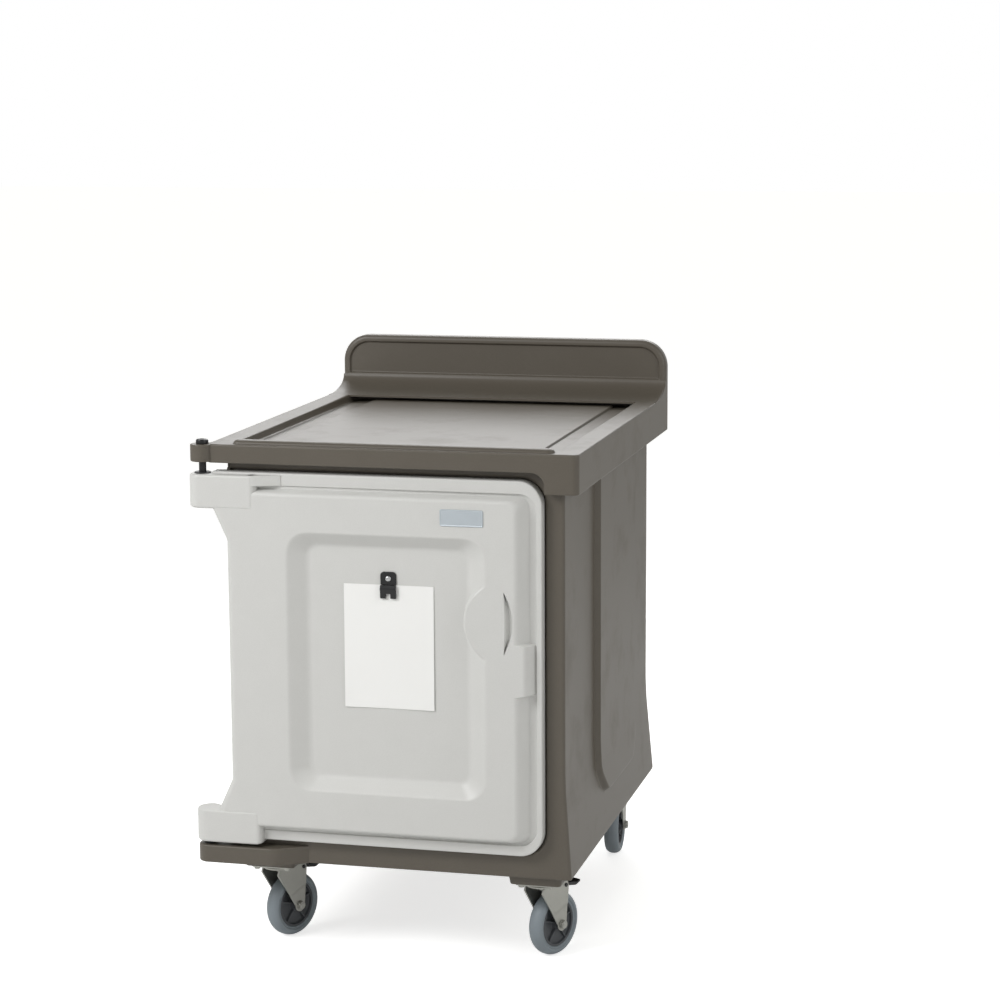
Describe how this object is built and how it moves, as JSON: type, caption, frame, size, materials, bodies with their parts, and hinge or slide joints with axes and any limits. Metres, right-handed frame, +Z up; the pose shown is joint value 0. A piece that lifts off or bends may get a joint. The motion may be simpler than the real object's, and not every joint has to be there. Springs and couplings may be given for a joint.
{
  "type": "meal tray cart",
  "caption": "Low enclosed meal tray cart with a hinged front door, tray ledges inside, a tray well and push handle on its cap, and braked swivel casters.",
  "frame": {"origin": "on the floor, under the middle of the whole cart", "axes": "+X to the right as seen when facing the door, +Y from the door to the rear, +Z up"},
  "size_m": [0.76, 0.9384, 1.124],
  "materials": {
    "taupe_plastic": "rotomoulded plastic, granite-like taupe, fine orange-peel surface",
    "cream_plastic": "rotomoulded plastic, off-white with faint speckle",
    "soft_seal": "matt black sealing rubber",
    "black_plastic": "black moulded plastic, satin",
    "nylon": "dark nylon",
    "stainless_steel": "brushed stainless steel sheet",
    "card": "blank white card",
    "badge_metal": "bare satin plate with a thin raised rim",
    "zinc_plate": "bright zinc-plated pressed steel",
    "tyre_grey": "blue-grey non-marking tyre",
    "hub_grey": "dark grey moulded wheel centre"
  },
  "bodies": {
    "cabinet": {"cabinet_body": "taupe_plastic", "top_cap": "taupe_plastic", "hinge_pin_top": "black_plastic", "hinge_pin_bottom": "black_plastic", "catch_magnet": "nylon", "rack_upright_left_front": "stainless_steel", "rack_upright_left_rear": "stainless_steel", "rack_upright_right_front": "stainless_steel", "rack_upright_right_rear": "stainless_steel", "tray_ledge_left_1": "stainless_steel", "tray_ledge_left_2": "stainless_steel", "tray_ledge_left_3": "stainless_steel", "tray_ledge_left_4": "stainless_steel", "tray_ledge_left_5": "stainless_steel", "tray_ledge_right_1": "stainless_steel", "tray_ledge_right_2": "stainless_steel", "tray_ledge_right_3": "stainless_steel", "tray_ledge_right_4": "stainless_steel", "tray_ledge_right_5": "stainless_steel", "caster_front_left_plate": "zinc_plate", "caster_front_right_plate": "zinc_plate", "caster_rear_left_plate": "zinc_plate", "caster_rear_right_plate": "zinc_plate"},
    "door": {"door_shell": "cream_plastic", "door_liner": "cream_plastic", "door_gasket": "soft_seal", "hinge_bush_top": "nylon", "hinge_bush_bottom": "nylon", "catch_strike": "stainless_steel", "menu_clip_base": "black_plastic", "menu_clip_screw": "stainless_steel", "menu_card": "card", "badge_plate": "badge_metal"},
    "clip_jaw": {"menu_clip_jaw": "black_plastic"},
    "front_left_fork": {"caster_front_left_yoke": "zinc_plate", "caster_front_left_axle": "zinc_plate"},
    "front_left_wheel": {"caster_front_left_tyre": "tyre_grey", "caster_front_left_hub": "hub_grey"},
    "front_left_pedal": {"caster_front_left_pedal": "black_plastic"},
    "front_right_fork": {"caster_front_right_yoke": "zinc_plate", "caster_front_right_axle": "zinc_plate"},
    "front_right_wheel": {"caster_front_right_tyre": "tyre_grey", "caster_front_right_hub": "hub_grey"},
    "front_right_pedal": {"caster_front_right_pedal": "black_plastic"},
    "rear_left_fork": {"caster_rear_left_yoke": "zinc_plate", "caster_rear_left_axle": "zinc_plate"},
    "rear_left_wheel": {"caster_rear_left_tyre": "tyre_grey", "caster_rear_left_hub": "hub_grey"},
    "rear_left_pedal": {"caster_rear_left_pedal": "black_plastic"},
    "rear_right_fork": {"caster_rear_right_yoke": "zinc_plate", "caster_rear_right_axle": "zinc_plate"},
    "rear_right_wheel": {"caster_rear_right_tyre": "tyre_grey", "caster_rear_right_hub": "hub_grey"},
    "rear_right_pedal": {"caster_rear_right_pedal": "black_plastic"}
  },
  "joints": [
    {"name": "door_hinge", "type": "hinge", "parent": "cabinet", "child": "door", "pos_m": [-0.355, -0.44375, 0.6], "axis": [0, 0, -1], "range_deg": [0, 270]},
    {"name": "clip_jaw_hinge", "type": "hinge", "parent": "door", "child": "clip_jaw", "pos_m": [0.012, -0.44845, 0.7447], "axis": [-1, 0, 0], "range_deg": [0, 12], "stiffness_Nm_per_rad": 0.05},
    {"name": "front_left_swivel", "type": "hinge", "parent": "cabinet", "child": "front_left_fork", "pos_m": [-0.249, -0.34975, 0.151], "axis": [0, 0, 1], "continuous": true},
    {"name": "front_left_roll", "type": "hinge", "parent": "front_left_fork", "child": "front_left_wheel", "pos_m": [-0.23366, -0.31829, 0.0635], "axis": [0.8988, -0.4384, 0], "continuous": true},
    {"name": "front_left_brake", "type": "hinge", "parent": "front_left_fork", "child": "front_left_pedal", "pos_m": [-0.22927, -0.3093, 0.1407], "axis": [-0.8988, 0.4384, 0], "range_deg": [0, 12]},
    {"name": "front_right_swivel", "type": "hinge", "parent": "cabinet", "child": "front_right_fork", "pos_m": [0.285, -0.34975, 0.151], "axis": [0, 0, 1], "continuous": true},
    {"name": "front_right_roll", "type": "hinge", "parent": "front_right_fork", "child": "front_right_wheel", "pos_m": [0.30034, -0.31829, 0.0635], "axis": [0.8988, -0.4384, 0], "continuous": true},
    {"name": "front_right_brake", "type": "hinge", "parent": "front_right_fork", "child": "front_right_pedal", "pos_m": [0.30473, -0.3093, 0.1407], "axis": [-0.8988, 0.4384, 0], "range_deg": [0, 12]},
    {"name": "rear_left_swivel", "type": "hinge", "parent": "cabinet", "child": "rear_left_fork", "pos_m": [-0.249, 0.33425, 0.151], "axis": [0, 0, 1], "continuous": true},
    {"name": "rear_left_roll", "type": "hinge", "parent": "rear_left_fork", "child": "rear_left_wheel", "pos_m": [-0.25083, 0.3692, 0.0635], "axis": [0.9986, 0.0523, 0], "continuous": true},
    {"name": "rear_left_brake", "type": "hinge", "parent": "rear_left_fork", "child": "rear_left_pedal", "pos_m": [-0.25136, 0.37919, 0.1407], "axis": [-0.9986, -0.0523, 0], "range_deg": [0, 12]},
    {"name": "rear_right_swivel", "type": "hinge", "parent": "cabinet", "child": "rear_right_fork", "pos_m": [0.285, 0.33425, 0.151], "axis": [0, 0, 1], "continuous": true},
    {"name": "rear_right_roll", "type": "hinge", "parent": "rear_right_fork", "child": "rear_right_wheel", "pos_m": [0.28317, 0.3692, 0.0635], "axis": [0.9986, 0.0523, 0], "continuous": true},
    {"name": "rear_right_brake", "type": "hinge", "parent": "rear_right_fork", "child": "rear_right_pedal", "pos_m": [0.28264, 0.37919, 0.1407], "axis": [-0.9986, -0.0523, 0], "range_deg": [0, 12]}
  ]
}
